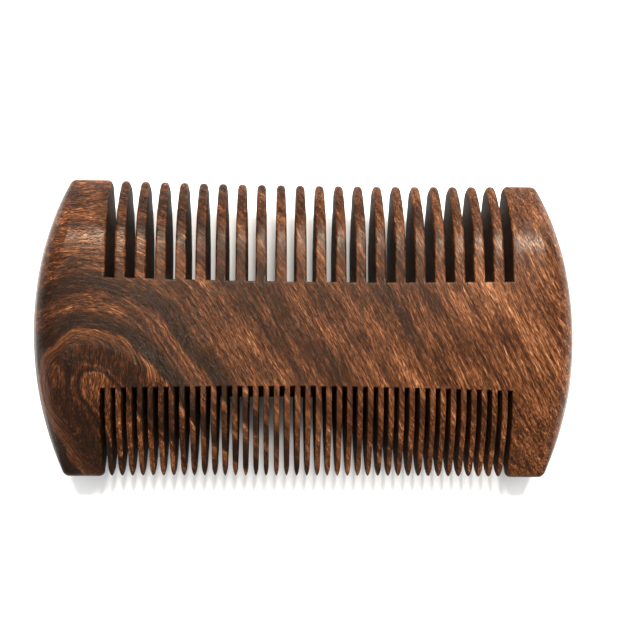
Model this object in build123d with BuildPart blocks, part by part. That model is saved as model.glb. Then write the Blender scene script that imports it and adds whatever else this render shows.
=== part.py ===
"""Double-sided wooden beard comb, cut from one blank of dark figured hardwood.

The comb lies flat: +X runs along its length, +Y points to the wide teeth and +Z out of the
upper face. The underside is at Z = 0. All lengths are millimetres.

A comb of this kind is a single piece of wood. It is divided here into its body, which is the
spine with the two end guards, and its teeth, which meet the body face to face at the root line.
"""

from build123d import *
import math
import os

# ---- blank ---------------------------------------------------------------------------------
LENGTH = 100.0
WIDTH = 56.0
THICKNESS = 10.0
END_BOW = 6.0             # how far each end bulges past its corners
END_ROUNDING = 4.4        # rounding between the end arcs and the two faces
OUTER_CORNER = 1.3        # plan rounding of the four outer corners
INNER_CORNER = 0.9        # plan rounding of the guard tips beside the slots

# ---- cross-section: a flat band that slopes down to a thin edge on each side --------------------
WIDE_EDGE = 1.6           # thickness at the wide tips
WIDE_SLOPE_LENGTH = 8.1   # from the tips to where the slope would meet the flat band
WIDE_BLEND = 30.0         # radius between the slope and the flat band
FINE_EDGE = 1.2
FINE_SLOPE_LENGTH = 10.2
FINE_BLEND = 25.0
EDGE_ROUNDING = 0.48      # rounding radius of a thin edge, as a share of its thickness

# ---- wide teeth, towards +Y ------------------------------------------------------------------
WIDE_COUNT = 20
WIDE_PITCH = 3.635
WIDE_SLOT = 1.6
WIDE_CENTRE_X = 0.7       # the row sits a little nearer the right-hand end
WIDE_ROOT_Y = 7.6         # slot bottoms beside the guards
WIDE_ROOT_BOW = 0.5       # the middle slots are this much deeper
WIDE_TIP_BOW = 0.4        # the middle tips stand this much lower
WIDE_TIP_WIDTH = 1.74     # width where the rounded tip begins
WIDE_TIP_LENGTH = 1.6
WIDE_TIP_POWER = 0.42     # below 0.5 is blunter than an ellipse
WIDE_TOOTH_ROUNDING = 0.45

# ---- fine teeth, towards -Y ------------------------------------------------------------------
FINE_COUNT = 39
FINE_PITCH = 1.872
FINE_SLOT = 0.85
FINE_CENTRE_X = 0.1
FINE_ROOT_Y = -12.8
FINE_ROOT_BOW = 0.6
FINE_TIP_BOW = 0.1
FINE_TIP_WIDTH = 0.92
FINE_TIP_LENGTH = 2.0
FINE_TIP_POWER = 0.7      # above 0.5 is more pointed than an ellipse
FINE_TOOTH_ROUNDING = 0.22

TIP_STATIONS = (0.03, 0.12, 0.35, 0.65)   # cross-sections of a tip, as shares of its length
BLEND_STATIONS = (0, 0.25, 0.5, 0.75, 1)  # cross-sections over the blend into the flat band
ROUNDING_SHARE = 0.9      # most of a half width or half thickness that a rounding takes
MARGIN = 5.0              # how far cutting shapes run past the blank
TOLERANCE = 0.01

# ---- derived sizes ---------------------------------------------------------------------------
TOP_Y = WIDTH / 2
MID_Z = THICKNESS / 2
CORNER_X = LENGTH / 2 - END_BOW
END_RADIUS = (TOP_Y**2 + END_BOW**2) / (2 * END_BOW)
END_CENTRE_X = LENGTH / 2 - END_RADIUS

os.makedirs("parts", exist_ok=True)


class Row:
    """One row of teeth: the numbers that its root line, slots and teeth are worked out from."""

    def __init__(self, side, count, pitch, slot, centre_x, root_y, root_bow, tip_bow):
        self.side = side
        self.count = count
        self.pitch = pitch
        self.slot = slot
        self.centre_x = centre_x
        self.root_y = root_y
        self.root_bow = root_bow
        self.tip_bow = tip_bow
        self.tooth_width = pitch - slot
        self.half = (count * pitch + slot) / 2
        self.left = centre_x - self.half
        self.right = centre_x + self.half

    def sag(self, x):
        """1 in the middle of the row, falling to 0 at the guards."""
        return 1 - ((x - self.centre_x) / self.half) ** 2

    def tooth_x(self, index):
        return self.centre_x + (index - (self.count - 1) / 2) * self.pitch

    def root(self, x):
        return self.root_y - self.side * self.root_bow * self.sag(x)

    def tip(self, x):
        return self.side * (TOP_Y - self.tip_bow * self.sag(x))

    def root_line(self):
        """Slot bottoms and tooth roots from guard to guard, each tooth root level."""
        points = [(self.left, self.root_y)]
        for index in range(self.count):
            x = self.tooth_x(index)
            for edge in (-self.tooth_width / 2, self.tooth_width / 2):
                points.append((x + edge, self.root(x)))
        points.append((self.right, self.root_y))
        return points


class Slope:
    """Half the comb's thickness at a distance from the thin edge on one side."""

    def __init__(self, edge, length, blend):
        self.half_edge = edge / 2
        self.length = length
        self.blend = blend
        self.rounding = edge * EDGE_ROUNDING
        self.angle = math.atan2(MID_Z - self.half_edge, length)
        self.tangent = blend * math.tan(self.angle / 2)
        self.blend_from = length - self.tangent * math.cos(self.angle)
        self.flat_from = length + self.tangent

    def half(self, distance):
        if distance >= self.flat_from:
            return MID_Z
        if distance >= self.blend_from:
            run = self.flat_from - distance
            return MID_Z - self.blend + math.sqrt(self.blend**2 - run**2)
        straight = self.half_edge + distance * math.tan(self.angle)
        if distance >= self.rounding:
            return straight
        return straight - self.rounding + math.sqrt(distance * (2 * self.rounding - distance))


def save(part, name):
    part.label = name
    export_step(part, f"parts/{name}.step")


wide = Row(
    1, WIDE_COUNT, WIDE_PITCH, WIDE_SLOT, WIDE_CENTRE_X, WIDE_ROOT_Y, WIDE_ROOT_BOW, WIDE_TIP_BOW
)
fine = Row(
    -1, FINE_COUNT, FINE_PITCH, FINE_SLOT, FINE_CENTRE_X, FINE_ROOT_Y, FINE_ROOT_BOW, FINE_TIP_BOW
)
wide_slope = Slope(WIDE_EDGE, WIDE_SLOPE_LENGTH, WIDE_BLEND)
fine_slope = Slope(FINE_EDGE, FINE_SLOPE_LENGTH, FINE_BLEND)


# ---- body: spine and end guards --------------------------------------------------------------
with BuildPart() as comb_body:
    # Cross-section, run along the whole length.
    with BuildSketch(Plane.YZ.offset(-LENGTH / 2)) as section:
        with BuildLine():
            Polyline(
                (-TOP_Y, MID_Z - FINE_EDGE / 2),
                (FINE_SLOPE_LENGTH - TOP_Y, 0),
                (TOP_Y - WIDE_SLOPE_LENGTH, 0),
                (TOP_Y, MID_Z - WIDE_EDGE / 2),
                (TOP_Y, MID_Z + WIDE_EDGE / 2),
                (TOP_Y - WIDE_SLOPE_LENGTH, THICKNESS),
                (FINE_SLOPE_LENGTH - TOP_Y, THICKNESS),
                (-TOP_Y, MID_Z + FINE_EDGE / 2),
                close=True,
            )
        make_face()
        fine_edge, fine_shoulder, wide_shoulder, wide_edge = section.vertices().group_by(Axis.X)
        fillet(fine_edge, radius=fine_slope.rounding)
        fillet(fine_shoulder, radius=FINE_BLEND)
        fillet(wide_shoulder, radius=WIDE_BLEND)
        fillet(wide_edge, radius=wide_slope.rounding)
    extrude(amount=LENGTH)

    # Each end is an arc in plan, with its rim rounded over to both faces.
    for end in (-1, 1):
        axis_x = end * END_CENTRE_X
        with BuildSketch(Plane.XZ) as rim:
            with Locations((axis_x + end * END_RADIUS / 2, MID_Z)):
                Rectangle(END_RADIUS, THICKNESS)
            outer = rim.vertices().filter_by(lambda v: abs(v.X) > CORNER_X)
            fillet(outer, radius=END_ROUNDING)
        revolve(axis=Axis((axis_x, 0, 0), (0, 0, 1)), mode=Mode.INTERSECT)

    # Plan: the two end arcs, with the space for each row of teeth left out.
    with BuildSketch() as plan:
        with BuildLine():
            Line((-CORNER_X, TOP_Y), (CORNER_X, TOP_Y))
            ThreePointArc((CORNER_X, TOP_Y), (LENGTH / 2, 0), (CORNER_X, -TOP_Y))
            Line((CORNER_X, -TOP_Y), (-CORNER_X, -TOP_Y))
            ThreePointArc((-CORNER_X, -TOP_Y), (-LENGTH / 2, 0), (-CORNER_X, TOP_Y))
        make_face()
        fillet(plan.vertices(), radius=OUTER_CORNER)
        for row in (wide, fine):
            beyond = row.side * (TOP_Y + MARGIN)
            with BuildLine():
                Polyline(*row.root_line(), (row.right, beyond), (row.left, beyond), close=True)
            make_face(mode=Mode.SUBTRACT)
        tip_y = TOP_Y - TOLERANCE
        tip_x = CORNER_X - 2 * OUTER_CORNER
        tips = plan.vertices().filter_by(lambda v: abs(v.Y) > tip_y and abs(v.X) < tip_x)
        fillet(tips, radius=INNER_CORNER)
    extrude(amount=THICKNESS, mode=Mode.INTERSECT)
save(comb_body.part, "comb_body")


# ---- teeth -----------------------------------------------------------------------------------
def make_tooth(row, slope, index, tip_width, tip_length, tip_power, rounding):
    """A tooth with rounded long edges: parallel at the root, then tapering to its tip."""
    x = row.tooth_x(index)
    root = row.root(x)
    tip = row.tip(x)
    reach = abs(tip - root)
    taper_from = min(slope.flat_from, reach)

    def half_width(distance):
        if distance < tip_length:
            return tip_width / 2 * (1 - (1 - distance / tip_length) ** 2) ** tip_power
        share = (distance - tip_length) / (taper_from - tip_length)
        return tip_width / 2 + (row.tooth_width - tip_width) / 2 * math.sin(share * math.pi / 2)

    blend_length = taper_from - slope.blend_from
    stations = [tip_length * share for share in TIP_STATIONS] + [tip_length]
    stations += [slope.blend_from + blend_length * share for share in BLEND_STATIONS]
    with BuildPart() as tooth:
        for distance in stations:
            half_x = half_width(distance)
            half_z = slope.half(distance)
            with BuildSketch(Plane.XZ.offset(row.side * distance - tip)):
                with Locations((x, MID_Z)):
                    radius = min(rounding, ROUNDING_SHARE * half_x, ROUNDING_SHARE * half_z)
                    RectangleRounded(2 * half_x, 2 * half_z, radius=radius)
        loft(ruled=True)
        if reach > taper_from + TOLERANCE:
            with BuildSketch(Plane.XZ.offset(-root)):
                with Locations((x, MID_Z)):
                    RectangleRounded(row.tooth_width, THICKNESS, radius=rounding)
            extrude(amount=-row.side * (reach - taper_from))
    return tooth.part


for number in range(1, WIDE_COUNT + 1):
    tooth = make_tooth(
        wide, wide_slope, number - 1, WIDE_TIP_WIDTH, WIDE_TIP_LENGTH, WIDE_TIP_POWER, WIDE_TOOTH_ROUNDING
    )
    save(tooth, f"wide_tooth_{number:02d}")

for number in range(1, FINE_COUNT + 1):
    tooth = make_tooth(
        fine, fine_slope, number - 1, FINE_TIP_WIDTH, FINE_TIP_LENGTH, FINE_TIP_POWER, FINE_TOOTH_ROUNDING
    )
    save(tooth, f"fine_tooth_{number:02d}")
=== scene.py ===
"""A double-sided wooden beard comb lying on a pale floor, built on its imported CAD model."""

import math

import bmesh
import bpy
from mathutils import Matrix, Vector
from mathutils.geometry import delaunay_2d_cdt


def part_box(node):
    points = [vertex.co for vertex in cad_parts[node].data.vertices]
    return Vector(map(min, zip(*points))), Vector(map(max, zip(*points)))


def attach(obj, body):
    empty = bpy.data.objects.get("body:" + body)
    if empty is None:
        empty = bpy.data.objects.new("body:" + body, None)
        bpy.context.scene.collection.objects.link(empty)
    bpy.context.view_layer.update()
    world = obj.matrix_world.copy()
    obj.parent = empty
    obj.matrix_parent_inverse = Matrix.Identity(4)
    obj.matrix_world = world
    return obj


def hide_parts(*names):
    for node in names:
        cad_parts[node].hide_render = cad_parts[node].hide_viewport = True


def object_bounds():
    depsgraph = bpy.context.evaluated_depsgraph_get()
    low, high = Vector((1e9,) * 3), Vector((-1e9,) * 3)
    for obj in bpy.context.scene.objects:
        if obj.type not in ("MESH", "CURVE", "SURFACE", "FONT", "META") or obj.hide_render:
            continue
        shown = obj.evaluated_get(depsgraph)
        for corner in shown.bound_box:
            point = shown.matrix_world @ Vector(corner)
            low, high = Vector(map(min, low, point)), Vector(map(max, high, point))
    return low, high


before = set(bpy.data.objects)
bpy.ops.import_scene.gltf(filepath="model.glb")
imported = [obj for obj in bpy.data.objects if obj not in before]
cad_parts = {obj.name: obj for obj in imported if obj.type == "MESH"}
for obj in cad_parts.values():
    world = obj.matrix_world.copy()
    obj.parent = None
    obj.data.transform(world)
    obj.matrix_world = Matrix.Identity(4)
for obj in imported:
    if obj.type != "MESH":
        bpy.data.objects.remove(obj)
cad_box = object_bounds()

MM = 0.001

# ---- sizes, in millimetres ---------------------------------------------------------------------
LENGTH, WIDTH, THICKNESS = ((high - low) / MM for low, high in zip(*cad_box))
TOP = WIDTH / 2
MID = THICKNESS / 2

END_BOW = 6.0  # how far each end bulges past its corners
END_ROUNDING = 4.4  # rounding between the end arcs and the two faces
END_ROUNDING_SHARE = 0.92  # most of the half thickness that this rounding takes
OUTER_CORNER = 1.3
INNER_CORNER = 0.9
EDGE_ROUNDING = 0.48  # rounding of the thin edges, as a share of their thickness
ROOT_Y = {"wide": 7.6, "fine": -12.8}  # slot bottoms beside the guards
SIDE = {"wide": 1, "fine": -1}
SLOPE = {"wide": (1.6, 8.1, 30.0), "fine": (1.2, 10.2, 25.0)}  # edge, length, blend radius
TIP = {"wide": (1.74, 1.6, 0.42), "fine": (0.92, 2.0, 0.7)}  # width, length, bluntness
FLANK_ROUNDING = {"wide": 0.45, "fine": 0.22}  # long edges of the teeth, slots and guards
STUB = {"wide": 1.0, "fine": 0.8}  # how much of each tooth above its root belongs to the body

THINNEST = 0.01  # least half thickness that a rounding may leave
APEX_ROUNDING = 0.02  # rounding at the very tip of a tooth
TOOTH_ROUNDING_SHARE = 0.8  # most of a tooth's half width or half thickness

# How finely the pieces are divided.
TIP_SHARES = (0.02, 0.06, 0.13, 0.24, 0.38, 0.55, 0.76, 1.0)  # places along a tip
TOOTH_STATIONS = 14
ARC_STEPS = 4
WALL_STEPS = 12  # up a guard's wall beside the first slot
INNER_CORNER_STEPS = 5
EDGE_STEPS = 6
OUTER_CORNER_STEPS = 6
END_STEPS = 26  # from an outer corner to the middle of the end
GRID_ROWS = 14  # rows of points across a guard's slope
GRID_PITCH = 1.3
GRID_MARGIN = 0.5
NARROW_ZONE = 2  # rows this near the thin edge keep their points clear of its corners
NARROW_MARGIN = 0.6
TRIANGLES_INSIDE = 1  # delaunay_2d_cdt: keep only the triangles inside the outline
MERGE_DISTANCE = 1e-6
SHARP_ANGLE = 50
FACE_WEIGHT = 100

END_RADIUS = (TOP**2 + END_BOW**2) / (2 * END_BOW)
END_CENTRE = LENGTH / 2 - END_RADIUS


class Slope:
    """Half the comb's thickness at a distance from the thin edge on one side."""

    def __init__(self, edge, length, blend):
        self.half_edge = edge / 2
        self.blend = blend
        self.rounding = edge * EDGE_ROUNDING
        self.angle = math.atan2(MID - self.half_edge, length)
        tangent = blend * math.tan(self.angle / 2)
        self.blend_from = length - tangent * math.cos(self.angle)
        self.flat_from = length + tangent

    def face(self, distance):
        """The faces alone, as if the thin edge were square."""
        if distance >= self.flat_from:
            return MID
        if distance >= self.blend_from:
            run = self.flat_from - distance
            return MID - self.blend + math.sqrt(self.blend**2 - run**2)
        return self.half_edge + max(distance, 0) * math.tan(self.angle)

    def rounded(self, distance):
        """The faces and the rounded thin edge."""
        if distance >= self.rounding:
            return self.face(distance)
        distance = max(distance, 0)
        rise = math.sqrt(distance * (2 * self.rounding - distance))
        return self.face(distance) - self.rounding + rise


SLOPES = {row: Slope(*sizes) for row, sizes in SLOPE.items()}


def body_half(y):
    """Half the body's thickness at y."""
    return min(SLOPES["wide"].face(TOP - y), SLOPES["fine"].face(TOP + y))


class Tooth:
    """One tooth, placed by the box of its CAD node."""

    def __init__(self, node):
        low, high = (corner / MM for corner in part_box(node))
        self.node = node
        self.row = node.split("_")[0]
        self.side = SIDE[self.row]
        self.x = (low.x + high.x) / 2
        self.half_width = (high.x - low.x) / 2
        self.root, self.tip = sorted((low.y, high.y), key=lambda y: y * self.side)
        self.seam = self.root + self.side * STUB[self.row]

    def stations(self):
        """(distance from the tip, half width), from just behind the tip to the seam."""
        tip_width, tip_length, power = TIP[self.row]
        taper_from = min(SLOPES[self.row].flat_from, abs(self.tip - self.root))
        found = []
        for share in TIP_SHARES:
            found.append((tip_length * share, tip_width / 2 * (1 - (1 - share) ** 2) ** power))
        rest = abs(self.tip - self.seam) - tip_length
        for step in range(1, TOOTH_STATIONS + 1):
            distance = tip_length + rest * step / TOOTH_STATIONS
            share = min((distance - tip_length) / (taper_from - tip_length), 1)
            widening = (self.half_width - tip_width / 2) * math.sin(share * math.pi / 2)
            found.append((distance, tip_width / 2 + widening))
        return found


def teeth_of(row):
    names = [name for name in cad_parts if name.startswith(f"{row}_tooth")]
    return sorted((Tooth(name) for name in names), key=lambda tooth: tooth.x)


TEETH = {row: teeth_of(row) for row in SIDE}


# ---- meshes ------------------------------------------------------------------------------------
class Shell:
    """Collects the points and faces of one closed piece."""

    def __init__(self, half):
        self.half = half
        self.points = []
        self.faces = []

    def add(self, x, y, z):
        """A point, in millimetres, with z counted from the mid-plane."""
        self.points.append((x * MM, y * MM, (z + MID) * MM))
        return len(self.points) - 1

    def column(self, x, y, nx, ny, radius):
        """Points round the outline at one place: from the upper face over the rounding, down the
        wall and round to the lower face. (nx, ny) points into the wood."""
        arc = []
        for step in range(ARC_STEPS + 1):
            turn = math.pi / 2 * (1 - step / ARC_STEPS)
            inset = radius * (1 - math.cos(turn))
            px, py = x + nx * inset, y + ny * inset
            height = self.half(py) - radius * (1 - math.sin(turn))
            arc.append((px, py, max(height, THINNEST)))
        upper = [self.add(*point) for point in arc]
        lower = [self.add(px, py, -pz) for px, py, pz in reversed(arc)]
        return upper + lower

    def wall(self, columns):
        """The closed side wall through a ring of columns."""
        for a, b in zip(columns, columns[1:] + columns[:1]):
            for k in range(len(a) - 1):
                self.faces.append((a[k], b[k], b[k + 1], a[k + 1]))

    def build(self, name, material, node):
        mesh = bpy.data.meshes.new(name)
        mesh.from_pydata(self.points, [], self.faces)
        work = bmesh.new()
        work.from_mesh(mesh)
        bmesh.ops.recalc_face_normals(work, faces=work.faces)
        for face in work.faces:
            face.smooth = True
        work.to_mesh(mesh)
        work.free()
        mesh.set_sharp_from_angle(angle=math.radians(SHARP_ANGLE))
        mesh.materials.append(material)
        piece = bpy.data.objects.new(name, mesh)
        bpy.context.scene.collection.objects.link(piece)
        weighted = piece.modifiers.new("face weighted shading", "WEIGHTED_NORMAL")
        weighted.keep_sharp = True
        weighted.weight = FACE_WEIGHT
        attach(piece, "root")
        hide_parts(node)


def unit(x, y):
    size = math.hypot(x, y)
    return x / size, y / size


def make_tooth(tooth, material):
    # The body's faces are measured from its own edge, so the tooth's are stretched to meet them.
    stretch = (TOP - abs(tooth.seam)) / abs(tooth.tip - tooth.seam)
    slope = SLOPES[tooth.row]
    shell = Shell(lambda y: slope.rounded(abs(tooth.tip - y) * stretch))
    stations = tooth.stations()
    pairs = []
    for k, (distance, width) in enumerate(stations):
        y = tooth.tip - tooth.side * distance
        before = stations[k - 1] if k else (0, 0)
        after = stations[min(k + 1, len(stations) - 1)]
        across, along = unit(after[0] - before[0], after[1] - before[1])
        if distance == stations[-1][0]:
            across, along = 1, 0
        thinner = min(width, shell.half(y))
        radius = min(FLANK_ROUNDING[tooth.row], TOOTH_ROUNDING_SHARE * thinner)
        pair = []
        for flank in (-1, 1):
            x = tooth.x + flank * width
            pair.append(shell.column(x, y, -flank * across, -tooth.side * along, radius))
        pairs.append(pair)
    apex = shell.column(tooth.x, tooth.tip, 0, -tooth.side, APEX_ROUNDING)
    shell.wall([apex] + [left for left, _ in pairs] + [right for _, right in reversed(pairs)])
    for face in (0, -1):
        shell.faces.append((apex[face], pairs[0][0][face], pairs[0][1][face]))
        for (left, right), (next_left, next_right) in zip(pairs, pairs[1:]):
            shell.faces.append((left[face], right[face], next_right[face], next_left[face]))
    shell.build(f"{tooth.node}_wood", material, tooth.node)


def spread(start, stop, count):
    """count even steps from start to stop, without start."""
    return [start + (stop - start) * k / count for k in range(1, count + 1)]


def guard_outline(row, end, inner_x):
    """(x, y, nx, ny, radius) from a guard's slot corner round its tip to the middle of the end."""
    side = SIDE[row]
    flank = FLANK_ROUNDING["wide"]
    edge = SLOPES[row].rounding
    points = [(inner_x, ROOT_Y[row], end, -side, FLANK_ROUNDING[row])]
    for y in spread(ROOT_Y[row], side * (TOP - INNER_CORNER), WALL_STEPS):
        points.append((inner_x, y, end, 0, flank))
    for turn in spread(0, math.pi / 2, INNER_CORNER_STEPS):
        across, along = end * math.cos(turn), side * math.sin(turn)
        x = inner_x + end * INNER_CORNER - across * INNER_CORNER
        y = side * (TOP - INNER_CORNER) + along * INNER_CORNER
        points.append((x, y, across, -along, flank + (edge - flank) * turn * 2 / math.pi))
    inside = END_RADIUS - OUTER_CORNER
    corner_y = TOP - OUTER_CORNER
    corner_x = END_CENTRE + math.sqrt(inside**2 - corner_y**2)
    for x in spread(inner_x + end * INNER_CORNER, end * corner_x, EDGE_STEPS):
        points.append((x, side * TOP, 0, -side, edge))
    last_turn = math.acos(corner_y / inside)
    arc_y = corner_y * END_RADIUS / inside
    at_arc = min(END_ROUNDING, END_ROUNDING_SHARE * body_half(side * arc_y))
    for turn in spread(0, last_turn, OUTER_CORNER_STEPS):
        across, along = end * math.sin(turn), side * math.cos(turn)
        x = end * corner_x + across * OUTER_CORNER
        y = side * corner_y + along * OUTER_CORNER
        points.append((x, y, -across, -along, edge + (at_arc - edge) * turn / last_turn))
    for y in spread(side * arc_y, 0, END_STEPS):
        along = y / END_RADIUS
        across = end * math.sqrt(1 - along**2)
        radius = min(END_ROUNDING, END_ROUNDING_SHARE * body_half(y))
        x = end * END_CENTRE + across * END_RADIUS
        points.append((x, y, -across, -along, radius))
    return points


def slot_outline(row):
    """(x, y, nx, ny, radius) of the slot bottoms and tooth stubs, from left to right."""
    radius = FLANK_ROUNDING[row]
    side = SIDE[row]
    points = []
    for tooth in TEETH[row]:
        left, right = tooth.x - tooth.half_width, tooth.x + tooth.half_width
        points.append((left, tooth.root, 1, -side, radius))
        points.append((left, tooth.seam, 1, 0, radius))
        points.append((right, tooth.seam, -1, 0, radius))
        points.append((right, tooth.root, -1, -side, radius))
    return points


def inner_wall(row, end):
    """x of the guard wall beside the row's first or last slot."""
    teeth = TEETH[row]
    slot = teeth[1].x - teeth[0].x - 2 * teeth[0].half_width
    tooth = teeth[0] if end < 0 else teeth[-1]
    return tooth.x + end * (tooth.half_width + slot)


def body_outline():
    guards = {}
    for row in SIDE:
        for end in (-1, 1):
            guards[row, end] = guard_outline(row, end, inner_wall(row, end))
    outline = slot_outline("wide")
    outline += guards["wide", 1] + guards["fine", 1][-2::-1]
    outline += slot_outline("fine")[::-1]
    outline += guards["fine", -1] + guards["wide", -1][-2::-1]
    return outline


def guard_grid():
    """Points across each guard's sloping faces, clear of its roundings."""
    found = []
    for row in SIDE:
        slope = SLOPES[row]
        first = slope.rounding + GRID_MARGIN
        for end in (-1, 1):
            wall = inner_wall(row, end)
            for distance in [first] + spread(first, slope.flat_from, GRID_ROWS):
                y = SIDE[row] * (TOP - distance)
                rim = min(END_ROUNDING, END_ROUNDING_SHARE * body_half(y))
                outer = END_CENTRE + math.sqrt(END_RADIUS**2 - y**2) - rim - GRID_MARGIN
                inner = abs(wall) + FLANK_ROUNDING["wide"] + GRID_MARGIN
                count = max(round((outer - inner) / GRID_PITCH), 1)
                for x in [inner] + spread(inner, outer, count):
                    clear = inner + NARROW_MARGIN < x < outer - NARROW_MARGIN
                    if distance > NARROW_ZONE or clear:
                        found.append((end * x, y))
    return found


def make_body(material):
    shell = Shell(body_half)
    columns = [shell.column(*place) for place in body_outline()]
    shell.wall(columns)
    ring = [Vector(shell.points[column[0]][:2]) / MM for column in columns]
    grid = guard_grid()
    edges = [(k, (k + 1) % len(ring)) for k in range(len(ring))]
    points = ring + [Vector(point) for point in grid]
    flat = delaunay_2d_cdt(points, edges, [], TRIANGLES_INSIDE, MERGE_DISTANCE)
    for face, sign in ((0, 1), (-1, -1)):
        extra = [shell.add(x, y, sign * body_half(y)) for x, y in grid]
        ids = [column[face] for column in columns] + extra
        for triangle in flat[2]:
            shell.faces.append([ids[flat[3][corner][0]] for corner in triangle])
    shell.build("comb_body_wood", material, "comb_body")


# ---- wood --------------------------------------------------------------------------------------
# Lengths are in millimetres and noise scales are per millimetre.
ARCH_FOOT = (-38.0, -12.0)  # where the figure's arches are centred
ARCH_HEADING = math.radians(-52)  # the way the arches open
CORE_EDGE = (6.75, 11.25)  # the fibres stand upright nearer to the foot than this
FIBRE_LEAN = (0.12, 0.22)  # how much steeper the fibres run than the bands, left and right
LEAN_REACH = (-20.0, 40.0)  # the part of the comb over which that lean grows
WANDER = {"scale": 0.08, "swing": 4.0}  # slow drift of the figure
RIPPLE = {"scale": 0.4, "swing": 1.6}  # fine waviness of the bands
DEPTH_SLANT = 0.35  # how far the bands shift with each millimetre below the upper face
FIBRE_WANDER = -0.7  # part of the drift that the fibres leave out
UPRIGHT_RIPPLE = 0.5  # part of the ripple that the upright fibres follow
FLANK_SHIFT = 0.2  # keeps the strokes on the two sides of the arches from matching
DEPTH_SHIFT = 0.6  # how fast the strokes change down through the wood, against across them
STROKE_ROUGHNESS = 0.55
FIBRES = (1.7, 0.14, 3)  # scale across, scale along and detail of each kind of stroke
DASHES = (9.0, 0.7, 2)
PORES = (11.0, 0.8, 1)
PATCHES = (0.07, 1)  # scale and detail

BAND_SPAN = 90.0  # distance that the bands below are spread over
# Lightness of the figure at each distance from the line through the arches.
BANDS = (
    (0, 0.85), (1.8, 0.7), (2.2, 1.0), (2.8, 0.0), (3.5, 0.7), (4.2, 0.2), (8.0, 0.5), (9.8, 0.9),
    (10.3, 0.0), (12.2, 0.06), (13.8, 0.6), (16.6, 0.65), (17.4, 0.1), (19.2, 0.25),
    (20.6, 0.65), (25.0, 0.75), (27.5, 0.8), (29.8, 0.35), (31.5, 0.65), (35.0, 0.3), (38.0, 0.66),
    (43.0, 0.45), (46.0, 0.68), (51.0, 0.36), (54.0, 0.62), (58.0, 0.4), (62.0, 0.66),
    (65.0, 0.47), (68.0, 0.78), (72.0, 0.5), (77.0, 0.58), (84.0, 0.7),
)
TONES = (
    (0.0, (0.0050, 0.0018, 0.0008)),
    (0.3, (0.0210, 0.0060, 0.0016)),
    (0.55, (0.0720, 0.0235, 0.0075)),
    (0.8, (0.2100, 0.0830, 0.0330)),
    (1.0, (0.4000, 0.2200, 0.1200)),
)

# What each feature adds to the tone.
BASE_TONE = 0.08
BAND_TONE = 0.58
FIBRE_TONE = 1.05
PATCH_TONE = 0.3
END_TONES = (-0.1, 0.06)  # at the left and the right end
CORNER_PAINTED_LIGHT = 0.13  # painted light: the upper left guard is lighter where the lamps' sheen falls
DASH_TONE = 0.25
PORE_TONE = -0.32
# painted shade on the steep walls of the slots, teeth and ends
PAINTED_WALL_SHADE = -0.24
WORN_TONE = 0.03

END_REACH = (-50.0, 50.0)
CORNER_RISE = (8.0, 20.0)
CORNER_REACH = (-20.0, -44.0)
DASH_EDGE = (0.49, 0.66)  # noise at which a stroke begins and is full
PORE_EDGE = (0.47, 0.6)
STEEP_WALL_EDGE = (0.55, 0.15)  # how level a surface is where the walls' painted shade and dullness begin and are full
WORN_EDGE = (0.53, 0.6)  # sharpness of an edge where wear begins and is full

BASE_ROUGHNESS = 0.14
FIBRE_ROUGHNESS = 0.12
SAWN_ROUGHNESS = 0.45
PORE_ROUGHNESS = 0.05
WORN_ROUGHNESS = -0.06
PORE_DEPTH = -0.8  # against the height of the fibres
BUMP_STRENGTH = 0.4
BUMP_DISTANCE = 0.00006
SPECULAR_LEVEL = 0.098
SPECULAR_TINT = (1.0, 0.88, 0.73, 1)


class Tree:
    """Short ways to add shader nodes and join them."""

    def __init__(self, material):
        material.use_nodes = True
        self.nodes = material.node_tree.nodes
        self.links = material.node_tree.links

    def put(self, socket, value):
        if isinstance(value, bpy.types.NodeSocket):
            self.links.new(value, socket)
        else:
            socket.default_value = value

    def math(self, operation, *values, clamp=False):
        node = self.nodes.new("ShaderNodeMath")
        node.operation = operation
        node.use_clamp = clamp
        for socket, value in zip(node.inputs, values):
            self.put(socket, value)
        return node.outputs[0]

    def swing(self, value, size):
        """A value from 0 to 1, stretched to size and centred on zero."""
        return self.math("MULTIPLY_ADD", value, size, -size / 2)

    def weigh(self, total, value, weight, clamp=False):
        """The total with a weighted value added."""
        return self.math("ADD", total, self.math("MULTIPLY", value, weight), clamp=clamp)

    def blend(self, share, a, b):
        """a where the share is 0 and b where it is 1."""
        return self.math("ADD", a, self.math("MULTIPLY", share, self.math("SUBTRACT", b, a)))

    def vector(self, x, y, z):
        node = self.nodes.new("ShaderNodeCombineXYZ")
        for socket, value in zip(node.inputs, (x, y, z)):
            self.put(socket, value)
        return node.outputs[0]

    def split(self, vector):
        node = self.nodes.new("ShaderNodeSeparateXYZ")
        self.put(node.inputs[0], vector)
        return node.outputs

    def noise(self, place, scale=1.0, detail=2.0, roughness=0.5):
        node = self.nodes.new("ShaderNodeTexNoise")
        self.put(node.inputs["Vector"], place)
        self.put(node.inputs["Scale"], scale)
        self.put(node.inputs["Detail"], detail)
        self.put(node.inputs["Roughness"], roughness)
        return node.outputs["Fac"]

    def range(self, value, low, high, to_low=0.0, to_high=1.0):
        node = self.nodes.new("ShaderNodeMapRange")
        node.interpolation_type = "SMOOTHSTEP"
        for socket, given in zip(node.inputs, (value, low, high, to_low, to_high)):
            self.put(socket, given)
        return node.outputs[0]

    def ramp(self, value, stops):
        node = self.nodes.new("ShaderNodeValToRGB")
        elements = node.color_ramp.elements
        while len(elements) < len(stops):
            elements.new(0.5)
        for element, (position, colour) in zip(elements, stops):
            element.position = position
            element.color = (*colour, 1) if isinstance(colour, tuple) else (colour,) * 3 + (1,)
        self.put(node.inputs[0], value)
        return node.outputs[0]


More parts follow.
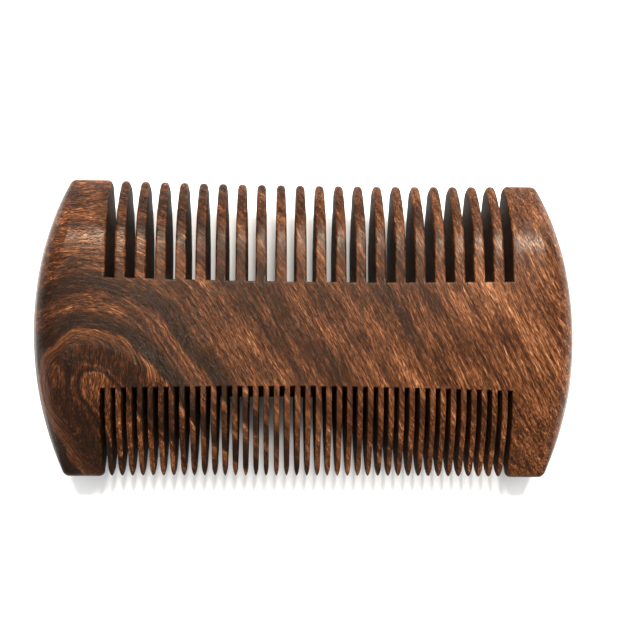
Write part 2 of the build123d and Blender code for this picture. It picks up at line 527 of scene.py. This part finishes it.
def make_figure(tree, x, y, z):
    """The features of the wood's figure at each point, each from 0 to 1."""
    place = tree.vector(x, y, z)
    wander = tree.swing(tree.noise(place, WANDER["scale"]), WANDER["swing"])
    ripple = tree.swing(tree.noise(place, RIPPLE["scale"]), RIPPLE["swing"])

    # How far each point is from a line that starts at the arches' foot and runs off down the
    # comb, and how far along or round that line it lies.
    run_x = tree.math("SUBTRACT", x, ARCH_FOOT[0])
    run_y = tree.math("SUBTRACT", y, ARCH_FOOT[1])
    cos, sin = math.cos(ARCH_HEADING), math.sin(ARCH_HEADING)
    along = tree.weigh(tree.math("MULTIPLY", run_x, cos), run_y, sin)
    across = tree.weigh(tree.math("MULTIPLY", run_y, cos), run_x, -sin)
    behind = tree.math("MINIMUM", along, 0.0)
    square = tree.math("MULTIPLY", behind, behind)
    distance = tree.math("SQRT", tree.math("MULTIPLY_ADD", across, across, square))
    turn = tree.math("ARCTAN2", behind, tree.math("ABSOLUTE", across))
    round_arch = tree.math("MULTIPLY", turn, distance)
    travel = tree.math("ADD", tree.math("MAXIMUM", along, 0.0), round_arch)

    level = tree.math("SUBTRACT", z, THICKNESS)
    distance = tree.math("ADD", distance, tree.math("MULTIPLY_ADD", level, DEPTH_SLANT, wander))
    share = tree.math("DIVIDE", tree.math("ADD", distance, ripple), BAND_SPAN, clamp=True)

    # Lines of the fibres: upright inside the arches, and along the figure everywhere else.
    outside = tree.range(distance, *CORE_EDGE)
    lines = tree.math("MULTIPLY_ADD", wander, FIBRE_WANDER, distance)
    lean = tree.range(x, *LEAN_REACH, *FIBRE_LEAN)
    lines = tree.math("MULTIPLY_ADD", travel, lean, lines)
    upright = tree.math("MULTIPLY_ADD", ripple, UPRIGHT_RIPPLE, run_x)
    cross = tree.blend(outside, upright, lines)
    flow = tree.blend(outside, run_y, travel)

    def strokes(cross_scale, along_scale, detail):
        """Noise drawn out along the fibres."""
        depth = tree.math("MULTIPLY", z, cross_scale * DEPTH_SHIFT)
        side = tree.math("MULTIPLY_ADD", across, FLANK_SHIFT, depth)
        crossing = tree.math("MULTIPLY", cross, cross_scale)
        running = tree.math("MULTIPLY", flow, along_scale)
        return tree.noise(tree.vector(crossing, running, side), 1.0, detail, STROKE_ROUGHNESS)

    return {
        "bands": tree.ramp(share, [(at / BAND_SPAN, light) for at, light in BANDS]),
        "fibre": strokes(*FIBRES),
        "dash": tree.range(strokes(*DASHES), *DASH_EDGE),
        "pore": tree.range(strokes(*PORES), *PORE_EDGE),
        "patch": tree.noise(place, *PATCHES),
    }


def make_wood():
    material = bpy.data.materials.new("figured_wood")
    tree = Tree(material)
    shader = tree.nodes["Principled BSDF"]
    coordinates = tree.nodes.new("ShaderNodeTexCoord").outputs
    x, y, z = (tree.math("MULTIPLY", axis, 1 / MM) for axis in tree.split(coordinates["Object"]))
    figure = make_figure(tree, x, y, z)

    # Steep walls, in the slots and round the ends, get painted shade that darkens them, and they
    # are duller than the two polished faces.
    facing = tree.split(coordinates["Normal"])[2]
    wall_shade_and_dullness = tree.range(tree.math("ABSOLUTE", facing), *STEEP_WALL_EDGE)
    sharpness = tree.nodes.new("ShaderNodeNewGeometry").outputs["Pointiness"]
    worn = tree.range(sharpness, *WORN_EDGE)
    # Painted light on the upper left guard, standing in for the lamps' sheen there.
    corner = tree.math("MULTIPLY", tree.range(y, *CORNER_RISE), tree.range(x, *CORNER_REACH))

    tone = tree.math("MULTIPLY_ADD", figure["bands"], BAND_TONE, BASE_TONE)
    tone = tree.math("ADD", tone, tree.swing(figure["fibre"], FIBRE_TONE))
    tone = tree.math("ADD", tone, tree.swing(figure["patch"], PATCH_TONE))
    tone = tree.math("ADD", tone, tree.range(x, *END_REACH, *END_TONES))
    tone = tree.math("MULTIPLY_ADD", corner, CORNER_PAINTED_LIGHT, tone)
    tone = tree.weigh(tone, figure["dash"], DASH_TONE)
    tone = tree.weigh(tone, figure["pore"], PORE_TONE)
    # Painted shade darkens the steep walls.
    tone = tree.weigh(tone, wall_shade_and_dullness, PAINTED_WALL_SHADE)
    tone = tree.weigh(tone, worn, WORN_TONE, clamp=True)
    tree.put(shader.inputs["Base Color"], tree.ramp(tone, TONES))

    rough = tree.math("MULTIPLY_ADD", figure["fibre"], FIBRE_ROUGHNESS, BASE_ROUGHNESS)
    rough = tree.weigh(rough, wall_shade_and_dullness, SAWN_ROUGHNESS)
    rough = tree.weigh(rough, figure["pore"], PORE_ROUGHNESS)
    rough = tree.weigh(rough, worn, WORN_ROUGHNESS)
    tree.put(shader.inputs["Roughness"], rough)

    bump = tree.nodes.new("ShaderNodeBump")
    bump.inputs["Strength"].default_value = BUMP_STRENGTH
    bump.inputs["Distance"].default_value = BUMP_DISTANCE
    tree.put(bump.inputs["Height"], tree.weigh(figure["fibre"], figure["pore"], PORE_DEPTH))
    tree.put(shader.inputs["Normal"], bump.outputs[0])
    shader.inputs["Specular IOR Level"].default_value = SPECULAR_LEVEL
    shader.inputs["Specular Tint"].default_value = SPECULAR_TINT
    return material


# ---- floor, light and camera ---------------------------------------------------------------------
# Lengths are in metres, but the camera's place, aim, lens and sensor are in millimetres.
FLOOR_REACH = 3.0
FLOOR_DROP = 0.00002  # keeps the floor clear of the comb's lower face
FLOOR_COLOUR = (0.86, 0.86, 0.855, 1)
FLOOR_ROUGHNESS = 0.85
WORLD_STRENGTH = 1.15
LAMP_COLOUR = (1.0, 0.92, 0.84)
LAMPS = {  # place, diameter and power; all point at the comb
    "key": ((0.03, 0.29, 0.43), 0.13, 2.6),
    "right_back": ((0.2, 0.27, 0.43), 0.1, 3.15),
    "left_back": ((-0.13, 0.27, 0.43), 0.1, 2.35),
}
CAMERA_PLACE = (-6.7, -38.3, 133.2)
CAMERA_AIM = (-2.6, -27.5, 10.0)
CAMERA_SHIFT = (0.042, 0.2365)
CAMERA_LENS = 39.4
CAMERA_SENSOR = 36
CAMERA_NEAR = 0.005


def make_floor():
    material = bpy.data.materials.new("pale_floor")
    shader = Tree(material).nodes["Principled BSDF"]
    shader.inputs["Base Color"].default_value = FLOOR_COLOUR
    shader.inputs["Roughness"].default_value = FLOOR_ROUGHNESS
    mesh = bpy.data.meshes.new("floor")
    corners = [(-1, -1), (1, -1), (1, 1), (-1, 1)]
    points = [(px * FLOOR_REACH, py * FLOOR_REACH, -FLOOR_DROP) for px, py in corners]
    mesh.from_pydata(points, [], [(0, 1, 2, 3)])
    mesh.materials.append(material)
    floor = bpy.data.objects.new("floor", mesh)
    bpy.context.scene.collection.objects.link(floor)


def make_world():
    world = bpy.data.worlds.new("studio")
    world.use_nodes = True
    background = world.node_tree.nodes["Background"]
    background.inputs["Color"].default_value = (1, 1, 1, 1)
    background.inputs["Strength"].default_value = WORLD_STRENGTH
    bpy.context.scene.world = world


def make_lamp(name, place, diameter, power):
    data = bpy.data.lights.new(name, "AREA")
    data.shape = "DISK"
    data.size = diameter
    data.energy = power
    data.color = LAMP_COLOUR
    lamp = bpy.data.objects.new(name, data)
    lamp.location = place
    lamp.rotation_euler = (-Vector(place)).to_track_quat("-Z", "Y").to_euler()
    bpy.context.scene.collection.objects.link(lamp)


def make_camera():
    data = bpy.data.cameras.new("camera")
    data.sensor_width = CAMERA_SENSOR
    data.lens = CAMERA_LENS
    data.shift_x, data.shift_y = CAMERA_SHIFT
    data.clip_start = CAMERA_NEAR
    camera = bpy.data.objects.new("camera", data)
    location = Vector(CAMERA_PLACE) * MM
    aim = Vector(CAMERA_AIM) * MM
    back = (location - aim).normalized()
    right = Vector((0, 1, 0)).cross(back).normalized()
    axes = Matrix((right, back.cross(right), back)).transposed()
    camera.matrix_world = Matrix.Translation(location) @ axes.to_4x4()
    bpy.context.scene.collection.objects.link(camera)
    bpy.context.scene.camera = camera


wood = make_wood()
make_body(wood)
for row_teeth in TEETH.values():
    for row_tooth in row_teeth:
        make_tooth(row_tooth, wood)
make_floor()
make_world()
for lamp_name, lamp_settings in LAMPS.items():
    make_lamp(lamp_name, *lamp_settings)
make_camera()
bpy.context.scene.view_settings.view_transform = "Standard"
